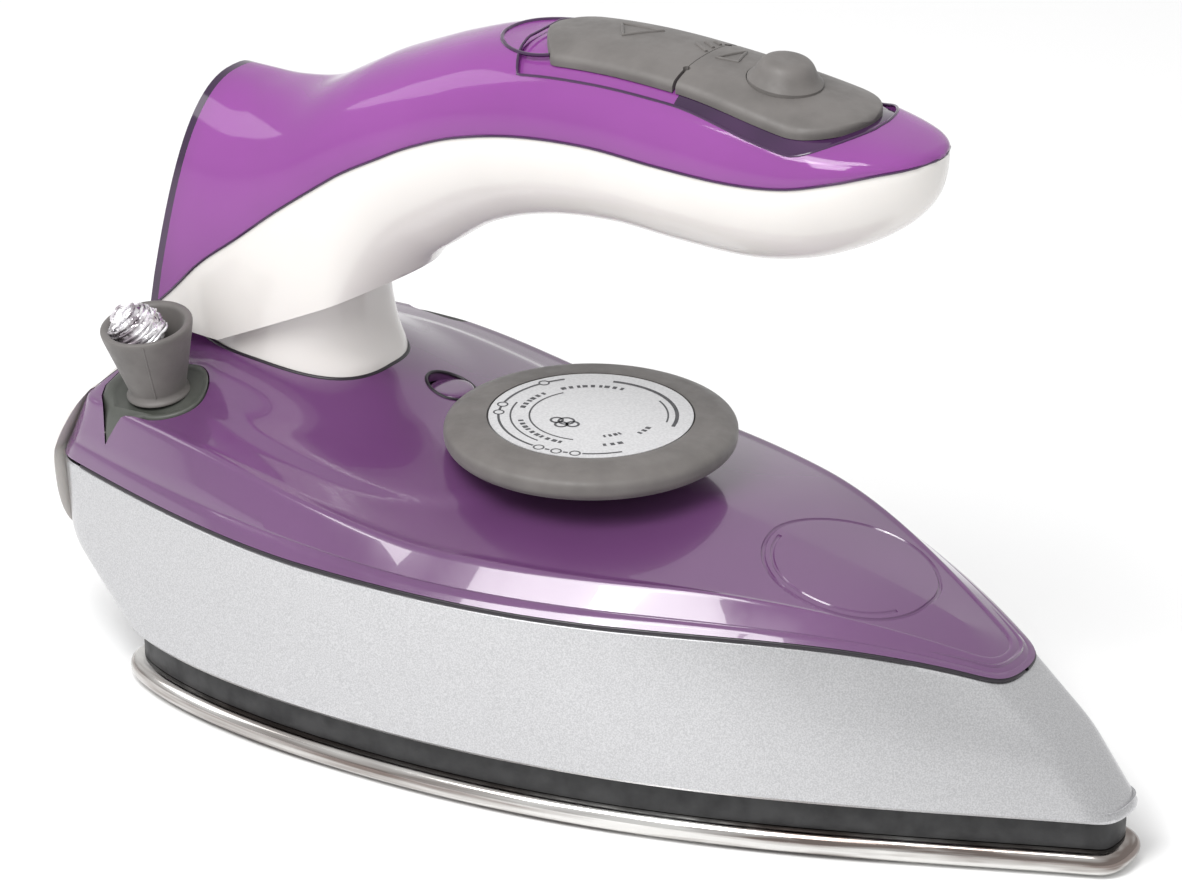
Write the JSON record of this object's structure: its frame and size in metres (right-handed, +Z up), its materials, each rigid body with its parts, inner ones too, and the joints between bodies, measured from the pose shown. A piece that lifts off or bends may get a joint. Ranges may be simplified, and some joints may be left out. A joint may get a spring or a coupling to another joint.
{
  "type": "travel steam iron",
  "caption": "Compact steam iron with pointed soleplate, silver skirt, purple top cover, temperature dial, and a folding handle that holds the water tank and steam button.",
  "frame": {"origin": "middle of the bounding box at the underside of the soleplate", "axes": "+X towards the pointed nose, +Z up, +Y to the left side seen from the heel"},
  "size_m": [0.2002, 0.0868, 0.1268],
  "materials": {
    "chrome_steel": "polished",
    "silver_paint": "metallic paint",
    "purple_tank": "gloss",
    "purple_cover": "gloss",
    "cream_plastic": "gloss",
    "grey_silicone": "matte",
    "dark_rubber": "matte",
    "black_phenolic": "matte",
    "dial_face": "satin",
    "lamp_lens": "gloss",
    "zinc_steel": "satin",
    "brass": "satin",
    "cast_aluminium": "as cast",
    "ceramic": "matte",
    "bright_sleeve": "bright",
    "white_nylon": "satin"
  },
  "bodies": {
    "base": {"soleplate": "chrome_steel", "heating_element": "zinc_steel", "element_terminal_left": "brass", "element_terminal_right": "brass", "steam_chamber": "cast_aluminium", "steam_chamber_lid": "zinc_steel", "chamber_screw_1": "zinc_steel", "chamber_screw_2": "zinc_steel", "dripper_valve": "brass", "heat_shield": "black_phenolic", "thermostat_body": "ceramic", "thermostat_nut": "brass", "thermostat_blade": "zinc_steel", "thermal_fuse": "ceramic", "lower_housing": "silver_paint", "top_cover": "purple_cover", "cover_gasket": "dark_rubber", "rear_cover": "cream_plastic", "rear_cover_screw_left": "zinc_steel", "rear_cover_screw_right": "zinc_steel", "cord_entry_plate": "dark_rubber", "cord_guard": "grey_silicone", "cord_sleeve": "bright_sleeve", "cord_clamp": "white_nylon", "terminal_block": "white_nylon", "pilot_lamp_lens": "lamp_lens", "pilot_lamp": "lamp_lens", "handle_pedestal": "cream_plastic", "pedestal_screw_left": "zinc_steel", "pedestal_screw_right": "zinc_steel", "pedestal_gasket": "dark_rubber", "hinge_pin": "zinc_steel", "fold_latch_spring": "zinc_steel"},
    "dial": {"temperature_dial": "grey_silicone", "dial_label": "dial_face", "thermostat_spindle": "brass"},
    "handle": {"handle_lower_shell": "cream_plastic", "handle_end_cap": "cream_plastic", "tank_shell": "purple_tank", "tank_floor": "purple_tank", "tank_screw_1": "zinc_steel", "tank_screw_2": "zinc_steel", "button_panel": "grey_silicone", "pump_cylinder": "white_nylon", "pump_spring": "zinc_steel", "water_tube": "white_nylon"},
    "flap": {"fill_flap": "grey_silicone"},
    "button": {"steam_button": "grey_silicone", "pump_piston": "white_nylon"},
    "release": {"fold_release_button": "dark_rubber", "fold_latch_bar": "white_nylon"}
  },
  "joints": [
    {"name": "dial_turn", "type": "hinge", "parent": "base", "child": "dial", "pos_m": [-0.0048, 0, 0.053], "axis": [0, 0, 1], "range_deg": [0, 270]},
    {"name": "handle_fold", "type": "hinge", "parent": "base", "child": "handle", "pos_m": [-0.0665, 0, 0.07], "axis": [0, 1, 0], "range_deg": [0, 20]},
    {"name": "fill_flap_open", "type": "hinge", "parent": "handle", "child": "flap", "pos_m": [0.01715, 0, 0.1253], "axis": [0, 1, 0], "range_deg": [0, 95]},
    {"name": "steam_button_press", "type": "slide", "parent": "handle", "child": "button", "axis": [0, 0, -1], "range_m": [0, 0.0025], "stiffness_N_per_m": 800, "springref_m": -0.0006, "deforming": ["pump_spring"]},
    {"name": "fold_release_press", "type": "slide", "parent": "base", "child": "release", "axis": [0, -1, 0], "range_m": [0, 0.002], "stiffness_N_per_m": 600, "springref_m": -0.0006}
  ]
}
